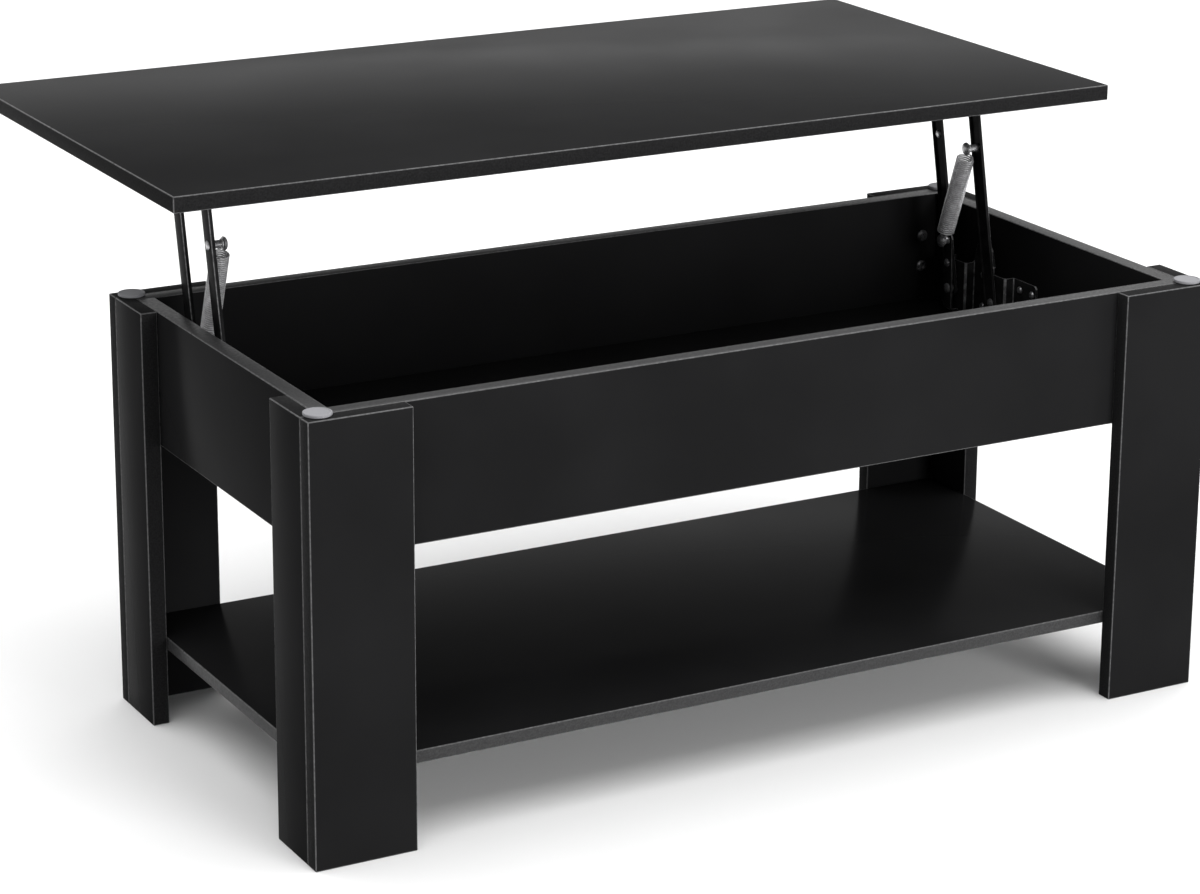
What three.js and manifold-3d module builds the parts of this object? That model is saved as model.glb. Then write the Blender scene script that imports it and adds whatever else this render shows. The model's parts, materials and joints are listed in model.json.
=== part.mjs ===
// Lift top coffee table, shown with its top raised.
// Millimetres. +X runs along the table, +Y points to the side where the user sits, +Z is up.
// The floor is z = 0, and the origin is the centre of the footprint of the raised table.

import * as THREE from 'three';
import { mergeVertices } from 'three/addons/utils/BufferGeometryUtils.js';
import Module from 'manifold-3d';

const wasm = await Module();
wasm.setup();

// ---------------------------------------------------------------- driving dimensions

// Table top
const TOP_LENGTH = 980;
const TOP_DEPTH = 500;
const TOP_THICKNESS = 15;
const TOP_OVERHANG = 28; // how far the closed top passes the legs, on all four sides

// Legs and boards
const LEG_HEIGHT = 400;
const BOARD = 16; // thickness of the leg boards and box panels
const LEG_LONG_SIDE_WIDTH = 96; // board that covers the corner
const LEG_SHORT_SIDE_WIDTH = 62; // board that butts behind it
const BOX_HEIGHT = 128;
const FLOOR_THICKNESS = 12;
const FLOOR_RECESS = 6; // from the panels' lower edges up to the box floor
const SHELF_THICKNESS = 12;
const SHELF_HEIGHT = 73; // from the ground to the shelf's underside

// Round pads that the closed top rests on
const PAD_RADIUS = 12.5;
const PAD_HEIGHT = 3;

// Bolts from the box into the legs
const BOLT_RADIUS = 3;
const BOLT_HEAD_RADIUS = 6;
const BOLT_HEAD_HEIGHT = 3;
const BOLT_LEG_DEPTH = 11; // how far a bolt goes into the leg board
const BOLT_DROP = 43; // from the rim of the box to the upper bolt
const BOLT_PITCH = 32;

// Lift mechanism: the arms
const ARM_LENGTH = 208; // pivot to pivot
const ARM_WIDTH = 17;
const ARM_DEPTH = 3.8;
const ARM_WALL = 1.6;
const ARM_SPACING = 69; // front pivot to rear pivot
const RAISED_LEAN = 12; // degrees past upright, towards the user
const PIVOT_ABOVE_FLOOR = 26; // lower pivots above the box floor
const PIVOT_BELOW_TOP = 12; // upper pivots below the underside of the top
const PIN_RADIUS = 3;
const PIN_HEAD_RADIUS = 5;
const PIN_HEAD_HEIGHT = 2;

// Lift mechanism: folded steel brackets
const SHEET = 2;
const POST_REACH = 13; // from the end panel to the face that the arms turn against
const POST_HALF_WIDTH = 18;
const POST_RISE = 29; // from the lower pivots to the top of the posts
const FOOT_DROP = 23; // from the lower pivots to the lower edge of the bracket
const TONGUE_RISE = 51; // from the lower pivots to the top of the screw tongue
const TONGUE_WIDTH = 24;
const WING_LENGTH = 38; // screw wing ahead of the front post
const STOP_WIDTH = 14; // bent tab that the raised rear arm leans on
const ARM_SIDE_CLEARANCE = 2;
const RAIL_WIDTH = 34;
const RAIL_FRONT_END = 14; // rail past the front pivot
const RAIL_REAR_END = 34; // rail past the rear pivot
const RAIL_EDGE = 10; // sheet below the upper pivots

// Lift mechanism: the springs
const SPRING_RADIUS = 9;
const SPRING_WIRE = 2;
const SPRING_END = 11.4; // from a stud's axis to the first coil
const STUD_RADIUS = 2.75;
const STUD_HEAD_RADIUS = 6.5;
const STUD_HEAD_HEIGHT = 4;
const STUD_ALONG_ARM = 157; // upper stud, from the front lower pivot
const STUD_ABOVE_PIVOT = 50; // lower stud, from the rear lower pivot
const STUD_AHEAD_OF_PIVOT = 2;
const HANGER_CLEARANCE = 1.4; // from the arms to the strap that holds the lower stud
const HANGER_HALF_WIDTH = 7;

const GAP = 0.3; // clearance between pieces that touch
const CROWN = 0.6; // flat crown of a domed head, as a share of the head's radius
const ROUND_STEPS = 16;
const WIRE_STEPS = 8;

// ---------------------------------------------------------------- derived places

const LEG_X = TOP_LENGTH / 2 - TOP_OVERHANG; // outer faces of the legs
const LEG_Y = TOP_DEPTH / 2 - TOP_OVERHANG;
const BOX_X = LEG_X - BOARD; // outer faces of the box
const BOX_Y = LEG_Y - BOARD;
const INSIDE_X = BOX_X - BOARD; // inner faces of the box
const INSIDE_Y = BOX_Y - BOARD;
const BOX_BOTTOM = LEG_HEIGHT - BOX_HEIGHT;
const FLOOR_TOP = BOX_BOTTOM + FLOOR_RECESS + FLOOR_THICKNESS;

const LEAN = THREE.MathUtils.degToRad(RAISED_LEAN);
const PIVOT_Z = FLOOR_TOP + PIVOT_ABOVE_FLOOR;
const CLOSED_UNDERSIDE = LEG_HEIGHT + PAD_HEIGHT + GAP;
const CLOSED_RISE = CLOSED_UNDERSIDE - PIVOT_BELOW_TOP - PIVOT_Z; // upper pivots above the lower ones
const CLOSED_RUN = Math.sqrt(ARM_LENGTH ** 2 - CLOSED_RISE ** 2);
const FRONT_PIVOT_Y = (CLOSED_RUN - ARM_SPACING) / 2; // the closed mechanism is centred in the box
const REAR_PIVOT_Y = FRONT_PIVOT_Y + ARM_SPACING;
const TOP_SHIFT = CLOSED_RUN + ARM_LENGTH * Math.sin(LEAN);
const TOP_UNDERSIDE = PIVOT_Z + ARM_LENGTH * Math.cos(LEAN) + PIVOT_BELOW_TOP;

// Layers of the mechanism, as distances inwards from the end panel
const POST_FACE = POST_REACH - SHEET;
const ARM_BACK = POST_REACH + ARM_SIDE_CLEARANCE;
const ARM_OPEN_SIDE = ARM_BACK + ARM_DEPTH;
const ARM_FLOOR = ARM_BACK + ARM_WALL;
const HANGER_BACK = ARM_OPEN_SIDE + HANGER_CLEARANCE;
const HANGER_FACE = HANGER_BACK + SHEET;
const SPRING_AXIS = ARM_OPEN_SIDE + GAP + SPRING_RADIUS;
const STUD_HEAD_BACK = SPRING_AXIS + SPRING_WIRE / 2 + GAP;

// ---------------------------------------------------------------- materials

const laminate = new THREE.MeshStandardMaterial({ color: 0x1c1c1d, roughness: 0.42, metalness: 0 });
const paintedSteel = new THREE.MeshStandardMaterial({ color: 0x121212, roughness: 0.35, metalness: 0.4 });
const springSteel = new THREE.MeshStandardMaterial({ color: 0x9a9a9c, roughness: 0.25, metalness: 1 });
const pinSteel = new THREE.MeshStandardMaterial({ color: 0x5e5e60, roughness: 0.35, metalness: 1 });
const padPlastic = new THREE.MeshStandardMaterial({ color: 0x6f6f72, roughness: 0.55, metalness: 0 });

// ---------------------------------------------------------------- solids

function solidOf(geometry) {
  const bare = geometry.clone();
  bare.deleteAttribute('normal');
  bare.deleteAttribute('uv');
  const merged = mergeVertices(bare, 1e-4);
  return new wasm.Manifold(new wasm.Mesh({
    numProp: 3,
    vertProperties: new Float32Array(merged.attributes.position.array),
    triVerts: new Uint32Array(merged.index.array),
  }));
}

function geometryOf(solid) {
  const mesh = solid.getMesh();
  const geometry = new THREE.BufferGeometry();
  geometry.setAttribute('position', new THREE.BufferAttribute(mesh.vertProperties, 3));
  geometry.setIndex(new THREE.BufferAttribute(mesh.triVerts, 1));
  return geometry;
}

function joined(geometries) {
  return geometryOf(geometries.map(solidOf).reduce((sum, next) => sum.add(next)));
}

function cutBy(geometry, cutters) {
  return geometryOf(cutters.map(solidOf).reduce((rest, next) => rest.subtract(next), solidOf(geometry)));
}

function block(x, y, z) {
  const geometry = new THREE.BoxGeometry(x[1] - x[0], y[1] - y[0], z[1] - z[0]);
  geometry.translate((x[0] + x[1]) / 2, (y[0] + y[1]) / 2, (z[0] + z[1]) / 2);
  return geometry;
}

// A round bar along +X from one x to another.
function bar(radius, x, y = 0, z = 0) {
  const geometry = new THREE.CylinderGeometry(radius, radius, x[1] - x[0], ROUND_STEPS);
  geometry.rotateZ(-Math.PI / 2);
  geometry.translate((x[0] + x[1]) / 2, y, z);
  return geometry;
}

// A turned piece on the X axis, from a list of [x, radius] corners.
function turned(corners) {
  const first = new THREE.Vector2(0, corners[0][0]);
  const last = new THREE.Vector2(0, corners.at(-1)[0]);
  const profile = corners.map(([x, radius]) => new THREE.Vector2(radius, x));
  const geometry = new THREE.LatheGeometry([first, ...profile, last], ROUND_STEPS);
  geometry.rotateZ(-Math.PI / 2);
  return geometry;
}

// An outline drawn in the Y-Z plane, made solid between two x planes.
const OUTLINE_TO_YZ = new THREE.Matrix4().makeBasis(
  new THREE.Vector3(0, 1, 0), new THREE.Vector3(0, 0, 1), new THREE.Vector3(1, 0, 0));

function sheet(outline, x) {
  const geometry = new THREE.ExtrudeGeometry(outline, {
    depth: x[1] - x[0],
    bevelEnabled: false,
    curveSegments: ROUND_STEPS / 2,
  });
  geometry.applyMatrix4(OUTLINE_TO_YZ);
  geometry.translate(x[0], 0, 0);
  return geometry;
}

// The outline of a strap with round ends, from one end's centre to the other's.
function strapOutline(from, to, radius) {
  const turn = Math.atan2(to[1] - from[1], to[0] - from[0]);
  const outline = new THREE.Shape();
  outline.absarc(to[0], to[1], radius, turn - Math.PI / 2, turn + Math.PI / 2, false);
  outline.absarc(from[0], from[1], radius, turn + Math.PI / 2, turn + Math.PI * 1.5, false);
  outline.closePath();
  return outline;
}

function polygonOutline(corners) {
  return new THREE.Shape(corners.map(([y, z]) => new THREE.Vector2(y, z)));
}

function mirrored(geometry) {
  const copy = geometry.index ? geometry.toNonIndexed() : geometry.clone();
  copy.scale(-1, 1, 1);
  const places = copy.attributes.position;
  for (let i = 0; i < places.count; i += 3) {
    const a = new THREE.Vector3().fromBufferAttribute(places, i + 1);
    const b = new THREE.Vector3().fromBufferAttribute(places, i + 2);
    places.setXYZ(i + 1, b.x, b.y, b.z);
    places.setXYZ(i + 2, a.x, a.y, a.z);
  }
  copy.deleteAttribute('normal');
  return copy;
}

function named(name, geometry, material) {
  const mesh = new THREE.Mesh(geometry, material);
  mesh.name = name;
  return mesh;
}

// ---------------------------------------------------------------- boards

function legBoards() {
  const group = new THREE.Group();
  for (const [xName, xSide] of [['left', -1], ['right', 1]]) {
    for (const [yName, ySide] of [['front', -1], ['back', 1]]) {
      const rise = [0, LEG_HEIGHT];
      const shortEnd = -BOARD - GAP;
      const longBoard = block([-LEG_LONG_SIDE_WIDTH, 0], [-BOARD, 0], rise);
      const shortBoard = block([-BOARD, 0], [shortEnd - LEG_SHORT_SIDE_WIDTH, shortEnd], rise);
      const cutters = boltHeights().map((z) => {
        const hole = bar(BOLT_RADIUS + GAP, [-GAP, BOLT_LEG_DEPTH]).rotateZ(Math.PI / 2);
        return hole.translate(-LEG_LONG_SIDE_WIDTH / 2, -BOARD, z);
      });
      const drilled = cutBy(longBoard, cutters);
      for (const [kind, geometry] of [['long', drilled], ['short', shortBoard]]) {
        const placed = placedCorner(geometry, xSide, ySide);
        const mesh = named(`${yName}_${xName}_leg_${kind}_side`, placed, laminate);
        mesh.position.set(xSide * LEG_X, ySide * LEG_Y, 0);
        group.add(mesh);
      }
    }
  }
  return group;
}

// Turns a piece drawn for the right back corner towards any other corner.
function placedCorner(geometry, xSide, ySide) {
  const turnedPiece = geometry.clone();
  if (ySide < 0) turnedPiece.rotateZ(Math.PI);
  return xSide === ySide ? turnedPiece : mirrored(turnedPiece);
}

function boltHeights() {
  return [LEG_HEIGHT - BOLT_DROP, LEG_HEIGHT - BOLT_DROP - BOLT_PITCH];
}

function boltX() {
  return LEG_X - LEG_LONG_SIDE_WIDTH / 2;
}

function box() {
  const group = new THREE.Group();
  const endX = BOX_X - GAP;
  const endY = INSIDE_Y - GAP;
  const rise = [BOX_BOTTOM, LEG_HEIGHT];
  for (const [name, side] of [['front', -1], ['back', 1]]) {
    const panel = block([-endX, endX], [-BOARD / 2, BOARD / 2 - GAP], rise);
    const cutters = [-1, 1].flatMap((xSide) => boltHeights().map((z) =>
      bar(BOLT_RADIUS + GAP, [-BOARD, BOARD]).rotateZ(Math.PI / 2).translate(xSide * boltX(), 0, z)));
    const drilled = cutBy(panel, cutters);
    if (side < 0) drilled.rotateZ(Math.PI);
    const mesh = named(`${name}_box_panel`, drilled, laminate);
    mesh.position.y = side * (BOX_Y - BOARD / 2);
    group.add(mesh);
  }
  for (const [name, side] of [['left', -1], ['right', 1]]) {
    const panel = block([-BOARD / 2, BOARD / 2 - GAP], [-endY, endY], rise);
    if (side < 0) panel.rotateZ(Math.PI);
    const mesh = named(`${name}_end_panel`, panel, laminate);
    mesh.position.x = side * (BOX_X - BOARD / 2);
    group.add(mesh);
  }
  const floorX = INSIDE_X - GAP;
  const floorEdge = [FLOOR_TOP - FLOOR_THICKNESS, FLOOR_TOP];
  group.add(named('box_floor', block([-floorX, floorX], [-endY, endY], floorEdge), laminate));
  return group;
}

function shelf() {
  const x = BOX_X - GAP;
  const y = BOX_Y - GAP;
  const board = block([-x, x], [-y, y], [SHELF_HEIGHT, SHELF_HEIGHT + SHELF_THICKNESS]);
  return named('lower_shelf', board, laminate);
}

function bumperPads() {
  const group = new THREE.Group();
  for (const [xName, xSide] of [['left', -1], ['right', 1]]) {
    for (const [yName, ySide] of [['front', -1], ['back', 1]]) {
      const pad = new THREE.CylinderGeometry(PAD_RADIUS, PAD_RADIUS, PAD_HEIGHT - GAP, ROUND_STEPS * 2);
      pad.rotateX(Math.PI / 2);
      const mesh = named(`${yName}_${xName}_bumper_pad`, pad, padPlastic);
      mesh.position.set(xSide * BOX_X, ySide * BOX_Y, LEG_HEIGHT + (PAD_HEIGHT + GAP) / 2);
      group.add(mesh);
    }
  }
  return group;
}

function legBolts() {
  const group = new THREE.Group();
  const tip = BOARD + BOLT_LEG_DEPTH - GAP;
  const bolt = turned([
    [-GAP - BOLT_HEAD_HEIGHT, BOLT_HEAD_RADIUS * CROWN],
    [-GAP - BOLT_HEAD_HEIGHT / 2, BOLT_HEAD_RADIUS],
    [-GAP, BOLT_HEAD_RADIUS],
    [-GAP, BOLT_RADIUS],
    [tip, BOLT_RADIUS],
  ]).rotateZ(Math.PI / 2);
  for (const [yName, ySide] of [['front', -1], ['back', 1]]) {
    for (const [xName, xSide] of [['left', -1], ['right', 1]]) {
      for (const [zName, z] of [['upper', boltHeights()[0]], ['lower', boltHeights()[1]]]) {
        const mesh = named(`${yName}_${xName}_leg_bolt_${zName}`, bolt, pinSteel);
        mesh.position.set(xSide * boltX(), ySide * INSIDE_Y, z);
        mesh.rotation.z = ySide > 0 ? 0 : Math.PI;
        group.add(mesh);
      }
    }
  }
  return group;
}

// ---------------------------------------------------------------- lift mechanism
// Each piece is drawn for the left end: x is the distance inwards from the end panel.

function baseBracket() {
  const low = -FOOT_DROP;
  const wing = -POST_HALF_WIDTH - WING_LENGTH;
  const tail = ARM_SPACING + POST_HALF_WIDTH;
  const middle = ARM_SPACING / 2;
  const plate = sheet(polygonOutline([
    [wing, low], [tail, low], [tail, POST_RISE],
    [middle + TONGUE_WIDTH / 2, POST_RISE], [middle + TONGUE_WIDTH / 2, TONGUE_RISE],
    [middle - TONGUE_WIDTH / 2, TONGUE_RISE], [middle - TONGUE_WIDTH / 2, POST_RISE],
    [wing, POST_RISE],
  ]), [GAP, GAP + SHEET]);
  const pieces = [plate, stopTab()];
  const holes = [];
  for (const pivot of [0, ARM_SPACING]) {
    const near = pivot - POST_HALF_WIDTH;
    const far = pivot + POST_HALF_WIDTH;
    pieces.push(block([POST_FACE, POST_REACH], [near, far], [low, POST_RISE]));
    pieces.push(block([GAP, POST_REACH], [near, near + SHEET], [low, POST_RISE]));
    pieces.push(block([GAP, POST_REACH], [far - SHEET, far], [low, POST_RISE]));
    holes.push(bar(PIN_RADIUS + GAP, [SHEET * 2, POST_REACH * 2], pivot, 0));
  }
  return cutBy(joined(pieces), holes);
}

// A tab bent across the rear arm's path, lying along the back edge of the raised arm.
function stopTab() {
  const near = ARM_WIDTH / 2 + GAP;
  const low = (POST_RISE - STOP_WIDTH) / Math.cos(LEAN);
  const high = POST_RISE / Math.cos(LEAN);
  const tab = block([POST_FACE, ARM_OPEN_SIDE], [near, near + SHEET], [low, high]);
  tab.rotateX(-LEAN);
  tab.translate(0, ARM_SPACING, 0);
  return tab;
}

// A pressed channel with round ends, open on its inner side, from its lower pivot up.
function arm(extraHoles) {
  const outer = strapOutline([0, 0], [0, ARM_LENGTH], ARM_WIDTH / 2);
  const inner = strapOutline([0, 0], [0, ARM_LENGTH], ARM_WIDTH / 2 - ARM_WALL);
  const blank = sheet(outer, [ARM_BACK, ARM_OPEN_SIDE]);
  const hollow = sheet(inner, [ARM_FLOOR, ARM_OPEN_SIDE + ARM_WALL]);
  const across = [ARM_BACK - ARM_WALL, ARM_OPEN_SIDE];
  const holes = [bar(PIN_RADIUS + GAP, across), bar(PIN_RADIUS + GAP, across, 0, ARM_LENGTH)];
  return cutBy(blank, [hollow, ...holes, ...extraHoles]);
}

function frontArm() {
  const studHole = bar(STUD_RADIUS + GAP, [ARM_BACK - ARM_WALL, ARM_OPEN_SIDE], 0, STUD_ALONG_ARM);
  return arm([studHole]);
}

function topRail() {
  const front = -RAIL_FRONT_END;
  const rear = ARM_SPACING + RAIL_REAR_END;
  const flat = block([POST_FACE, POST_FACE + RAIL_WIDTH], [front, rear],
    [PIVOT_BELOW_TOP - GAP - SHEET, PIVOT_BELOW_TOP - GAP]);
  const upright = sheet(polygonOutline([
    [front, -RAIL_EDGE / 2], [front + RAIL_EDGE / 2, -RAIL_EDGE],
    [ARM_SPACING + RAIL_EDGE, -RAIL_EDGE], [rear, 0],
    [rear, PIVOT_BELOW_TOP - GAP], [front, PIVOT_BELOW_TOP - GAP],
  ]), [POST_FACE, POST_REACH]);
  const holes = [0, ARM_SPACING].map((y) => bar(PIN_RADIUS + GAP, [0, POST_REACH * 2], y, 0));
  return cutBy(joined([flat, upright]), holes);
}

// A rivet from the bracket's inside through the sheet and the arm.
function shortPin() {
  const behind = POST_FACE - GAP;
  const front = ARM_FLOOR + GAP;
  return turned([
    [behind - PIN_HEAD_HEIGHT, PIN_HEAD_RADIUS], [behind, PIN_HEAD_RADIUS],
    [behind, PIN_RADIUS], [front, PIN_RADIUS],
    [front, PIN_HEAD_RADIUS], [front + PIN_HEAD_HEIGHT / 2, PIN_HEAD_RADIUS],
    [front + PIN_HEAD_HEIGHT, PIN_HEAD_RADIUS * CROWN],
  ]);
}

// The rear lower rivet goes on through the strap that holds the spring.
function longPin() {
  const behind = POST_FACE - GAP;
  const shoulder = ARM_FLOOR + GAP;
  const front = HANGER_FACE + GAP;
  return turned([
    [behind - PIN_HEAD_HEIGHT, PIN_HEAD_RADIUS], [behind, PIN_HEAD_RADIUS],
    [behind, PIN_RADIUS], [shoulder, PIN_RADIUS],
    [shoulder, PIN_HEAD_RADIUS], [HANGER_BACK - GAP, PIN_HEAD_RADIUS],
    [HANGER_BACK - GAP, PIN_RADIUS], [front, PIN_RADIUS],
    [front, PIN_HEAD_RADIUS], [front + PIN_HEAD_HEIGHT / 2, PIN_HEAD_RADIUS],
    [front + PIN_HEAD_HEIGHT, PIN_HEAD_RADIUS * CROWN],
  ]);
}

// The strap that stands on the table-centre side of the rear arm, with a foot bent back to the bracket.
function springHanger() {
  const foot = -FOOT_DROP;
  const strap = sheet(strapOutline([0, 0], [STUD_AHEAD_OF_PIVOT, STUD_ABOVE_PIVOT], HANGER_HALF_WIDTH),
    [HANGER_BACK, HANGER_FACE]);
  const across = [-HANGER_HALF_WIDTH, HANGER_HALF_WIDTH];
  const leg = block([HANGER_BACK, HANGER_FACE], across, [foot, 0]);
  const sole = block([POST_REACH + GAP, HANGER_FACE], across, [foot, foot + SHEET]);
  const through = [HANGER_BACK - SHEET, HANGER_FACE + SHEET];
  const holes = [
    bar(PIN_RADIUS + GAP, through),
    bar(STUD_RADIUS + GAP, through, STUD_AHEAD_OF_PIVOT, STUD_ABOVE_PIVOT),
  ];
  return cutBy(joined([strap, leg, sole]), holes);
}

// A headed stud riveted into a sheet, with the spring's hook behind its head.
function stud(sheetBack, sheetFace) {
  const rivet = sheetBack - GAP;
  const collar = sheetFace + GAP;
  const hook = SPRING_AXIS - SPRING_WIRE / 2 - GAP;
  return turned([
    [rivet - SHEET / 2, STUD_RADIUS + SHEET / 2], [rivet, STUD_RADIUS + SHEET],
    [rivet, STUD_RADIUS], [collar, STUD_RADIUS],
    [collar, STUD_RADIUS + SHEET / 2], [hook, STUD_RADIUS + SHEET / 2],
    [hook, STUD_RADIUS], [STUD_HEAD_BACK, STUD_RADIUS],
    [STUD_HEAD_BACK, STUD_HEAD_RADIUS], [STUD_HEAD_BACK + STUD_HEAD_HEIGHT / 2, STUD_HEAD_RADIUS],
    [STUD_HEAD_BACK + STUD_HEAD_HEIGHT, STUD_HEAD_RADIUS * CROWN],
  ]);
}

// An end hook of the spring: an eye round the stud and a neck towards the coils.
function eye(neckEnd) {
  const wire = SPRING_WIRE / 2;
  const radius = STUD_RADIUS + GAP + wire;
  const ring = new THREE.TorusGeometry(radius, wire, WIRE_STEPS, ROUND_STEPS).rotateY(Math.PI / 2);
  const neck = new THREE.CylinderGeometry(wire, wire, neckEnd - radius, WIRE_STEPS).rotateX(Math.PI / 2);
  neck.translate(0, 0, (neckEnd + radius) / 2);
  return [ring, neck];
}

// The tight coils as their outer shape, with the lower eye on its end.
function springCoils(length) {
  const height = length - 2 * SPRING_END;
  const coils = new THREE.CylinderGeometry(SPRING_RADIUS, SPRING_RADIUS, height, ROUND_STEPS);
  coils.rotateX(Math.PI / 2);
  coils.translate(0, 0, length / 2);
  return joined([coils, ...eye(SPRING_END + SPRING_WIRE)]).translate(SPRING_AXIS, 0, 0);
}

function springUpperEye() {
  return joined(eye(SPRING_END - GAP)).rotateX(Math.PI).translate(SPRING_AXIS, 0, 0);
}

function mechanism(name, side) {
  const group = new THREE.Group();
  group.position.x = side * INSIDE_X;
  const add = (piece, geometry, material, y, z, lean = 0) => {
    const mesh = named(`${name}_${piece}`, side < 0 ? geometry : mirrored(geometry), material);
    mesh.position.set(0, y, z);
    mesh.rotation.x = -lean;
    group.add(mesh);
  };
  const upperY = FRONT_PIVOT_Y + ARM_LENGTH * Math.sin(LEAN);
  const upperZ = PIVOT_Z + ARM_LENGTH * Math.cos(LEAN);
  const studY = FRONT_PIVOT_Y + STUD_ALONG_ARM * Math.sin(LEAN);
  const studZ = PIVOT_Z + STUD_ALONG_ARM * Math.cos(LEAN);
  const anchorY = REAR_PIVOT_Y + STUD_AHEAD_OF_PIVOT;
  const anchorZ = PIVOT_Z + STUD_ABOVE_PIVOT;
  const springLean = Math.atan2(studY - anchorY, studZ - anchorZ);
  const springLength = Math.hypot(studY - anchorY, studZ - anchorZ);

  add('base_bracket', baseBracket(), paintedSteel, FRONT_PIVOT_Y, PIVOT_Z);
  add('spring_hanger', springHanger(), paintedSteel, REAR_PIVOT_Y, PIVOT_Z);
  add('front_arm', frontArm(), paintedSteel, FRONT_PIVOT_Y, PIVOT_Z, LEAN);
  add('rear_arm', arm([]), paintedSteel, REAR_PIVOT_Y, PIVOT_Z, LEAN);
  add('top_rail', topRail(), paintedSteel, upperY, upperZ);
  add('front_lower_pin', shortPin(), pinSteel, FRONT_PIVOT_Y, PIVOT_Z);
  add('rear_lower_pin', longPin(), pinSteel, REAR_PIVOT_Y, PIVOT_Z);
  add('front_upper_pin', shortPin(), pinSteel, upperY, upperZ);
  add('rear_upper_pin', shortPin(), pinSteel, upperY + ARM_SPACING, upperZ);
  add('upper_spring_stud', stud(ARM_BACK, ARM_FLOOR), pinSteel, studY, studZ);
  add('lower_spring_stud', stud(HANGER_BACK, HANGER_FACE), pinSteel, anchorY, anchorZ);
  add('spring', springCoils(springLength), springSteel, anchorY, anchorZ, springLean);
  add('spring_upper_eye', springUpperEye(), springSteel, studY, studZ, springLean);
  return group;
}

function tableTop() {
  const board = new THREE.BoxGeometry(TOP_LENGTH, TOP_DEPTH, TOP_THICKNESS);
  const mesh = named('table_top', board, laminate);
  mesh.position.set(0, TOP_SHIFT, TOP_UNDERSIDE + TOP_THICKNESS / 2);
  return mesh;
}

// ---------------------------------------------------------------- assembly

const table = new THREE.Group();
table.add(tableTop(), legBoards(), box(), shelf(), bumperPads(), legBolts());
table.add(mechanism('left', -1), mechanism('right', 1));

// The origin is the middle of the raised table's footprint.
const nearEdge = Math.min(-LEG_Y, TOP_SHIFT - TOP_DEPTH / 2);
const farEdge = Math.max(LEG_Y, TOP_SHIFT + TOP_DEPTH / 2);
table.position.y = -(nearEdge + farEdge) / 2;

export default table;
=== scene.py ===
"""Lift top coffee table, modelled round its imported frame. Metres, +Z up."""

import json
import math

import bmesh
import bpy
from bpy.props import FloatProperty, FloatVectorProperty, IntProperty, PointerProperty
from mathutils import Matrix, Vector


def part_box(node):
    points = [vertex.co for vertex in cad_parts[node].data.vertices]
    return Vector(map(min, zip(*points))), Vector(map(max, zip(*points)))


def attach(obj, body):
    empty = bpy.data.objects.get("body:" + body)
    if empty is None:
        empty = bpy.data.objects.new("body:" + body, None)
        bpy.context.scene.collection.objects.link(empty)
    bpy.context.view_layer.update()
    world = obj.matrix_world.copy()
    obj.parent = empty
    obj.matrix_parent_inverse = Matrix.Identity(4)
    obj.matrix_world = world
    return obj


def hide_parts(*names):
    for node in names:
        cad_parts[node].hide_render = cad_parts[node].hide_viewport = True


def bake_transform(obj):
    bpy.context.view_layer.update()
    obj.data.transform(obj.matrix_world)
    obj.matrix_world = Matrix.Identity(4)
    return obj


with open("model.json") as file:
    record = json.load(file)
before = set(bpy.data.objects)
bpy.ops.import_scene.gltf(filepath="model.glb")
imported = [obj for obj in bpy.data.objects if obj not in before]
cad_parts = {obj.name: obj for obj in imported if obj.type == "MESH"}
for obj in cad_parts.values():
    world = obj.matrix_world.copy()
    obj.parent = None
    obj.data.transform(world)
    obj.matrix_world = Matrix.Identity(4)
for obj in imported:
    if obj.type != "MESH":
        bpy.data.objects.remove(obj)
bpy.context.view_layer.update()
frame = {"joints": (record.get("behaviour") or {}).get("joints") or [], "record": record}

bl_info = {
    "name": "Lift top coffee table",
    "version": (1, 0, 0),
    "blender": (4, 5, 0),
    "location": "View3D > Sidebar > Lift table",
    "description": "Models the boards, fixings and lift mechanism of a lift top coffee table",
    "category": "Object",
}

# ---------------------------------------------------------------- places, read from the frame

BODY_OF = {
    node: body
    for body, nodes in frame["record"]["behaviour"]["bodies"].items()
    for node in nodes
}
JOINTS = {joint["name"]: joint for joint in frame["joints"]}

FRONT_PIVOT = Vector(JOINTS["lift"]["pos_m"])
REAR_PIVOT = Vector(JOINTS["rear_arm_swing"]["pos_m"])
FRONT_UPPER_PIVOT = Vector(JOINTS["top_level"]["pos_m"])
PIVOT_SPACING = REAR_PIVOT - FRONT_PIVOT
LOWER_STUD = Vector(JOINTS["spring_swing"]["pos_m"])
SPRING_RUN = Vector(JOINTS["spring_stretch"]["axis"])

ARM_RUN = FRONT_UPPER_PIVOT - FRONT_PIVOT
ARM_LEAN = math.atan2(ARM_RUN.y, ARM_RUN.z)
END_PANEL_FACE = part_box("left_end_panel")[1].x
ARM_BACK, ARM_OPEN_SIDE = (corner.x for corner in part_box("left_front_arm"))
SPRING_X = sum(corner.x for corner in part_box("left_spring")) / 2
UPPER_STUD = sum(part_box("left_upper_spring_stud"), Vector()) / 2
CORNERS = ("front_left", "front_right", "back_left", "back_right")


# ---------------------------------------------------------------- sizes and colours

def number(name, description, default, **limits):
    return FloatProperty(name=name, description=description, default=default, **limits)


def length(name, description, default):
    return number(name, description, default, unit="LENGTH", precision=4)


def colour(name, description, default):
    return FloatVectorProperty(
        name=name, description=description, default=default, subtype="COLOR", min=0, max=1)


class LIFTTABLE_PG_boards(bpy.types.PropertyGroup):
    arris: length("Arris", "Radius of the boards' rounded edges", 0.0009)
    face: colour("Face", "Black laminate on the broad faces", (0.0095, 0.0095, 0.0098))
    band: colour(
        "Edge band", "Strip glued to the edges of the box and the shelf", (0.03, 0.03, 0.0305))
    dark_band: colour(
        "Dark edge band", "Strip glued to the edges of the top and the legs",
        (0.0125, 0.0125, 0.0128))
    # A lighter tint for the rounded edges: it paints the highlight that the light lays along each
    # arris.
    worn: colour("Rounded edge", "Laminate where the edge is rounded over", (0.07, 0.07, 0.071))


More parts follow.
